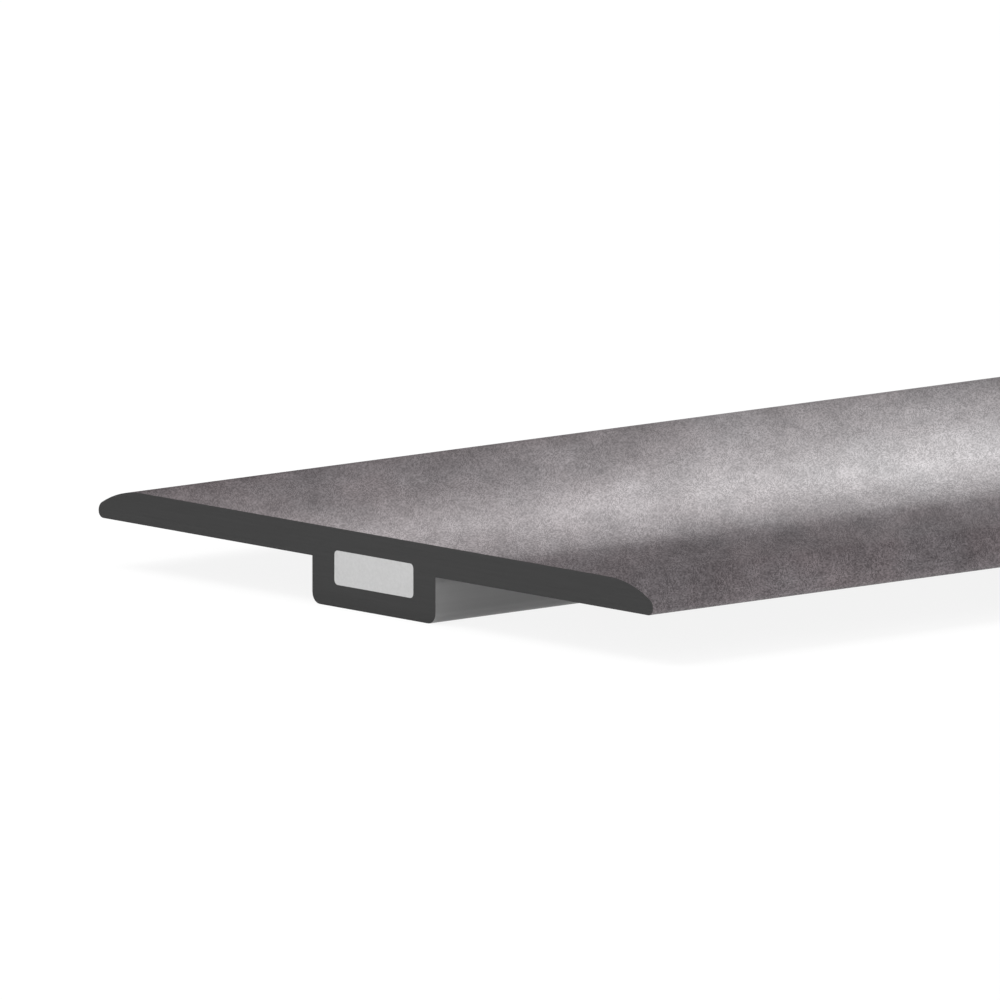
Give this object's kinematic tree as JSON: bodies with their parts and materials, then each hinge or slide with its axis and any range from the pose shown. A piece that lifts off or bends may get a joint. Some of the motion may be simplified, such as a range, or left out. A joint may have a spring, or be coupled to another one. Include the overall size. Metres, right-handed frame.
{
  "type": "vinyl t-molding",
  "caption": "Flat T-section floor transition strip: rounded vinyl flange with a stone-look printed film over a box stem filled with a light foam core.",
  "frame": {"origin": "on the floor side of the stem's flat underside, at the middle of its width and of the strip's length", "axes": "+X across the flange, +Y along the strip, +Z from the stem up to the printed top"},
  "size_m": [0.045, 0.914, 0.0043],
  "materials": {
    "profile": "dark grey extruded rigid vinyl, matte",
    "core_strip": "light grey cellular vinyl, matte",
    "decor_film": "satin film printed with mottled, fine-grained concrete"
  },
  "bodies": {
    "root": {"profile": "profile", "core_strip": "core_strip", "decor_film": "decor_film"}
  },
  "joints": []
}
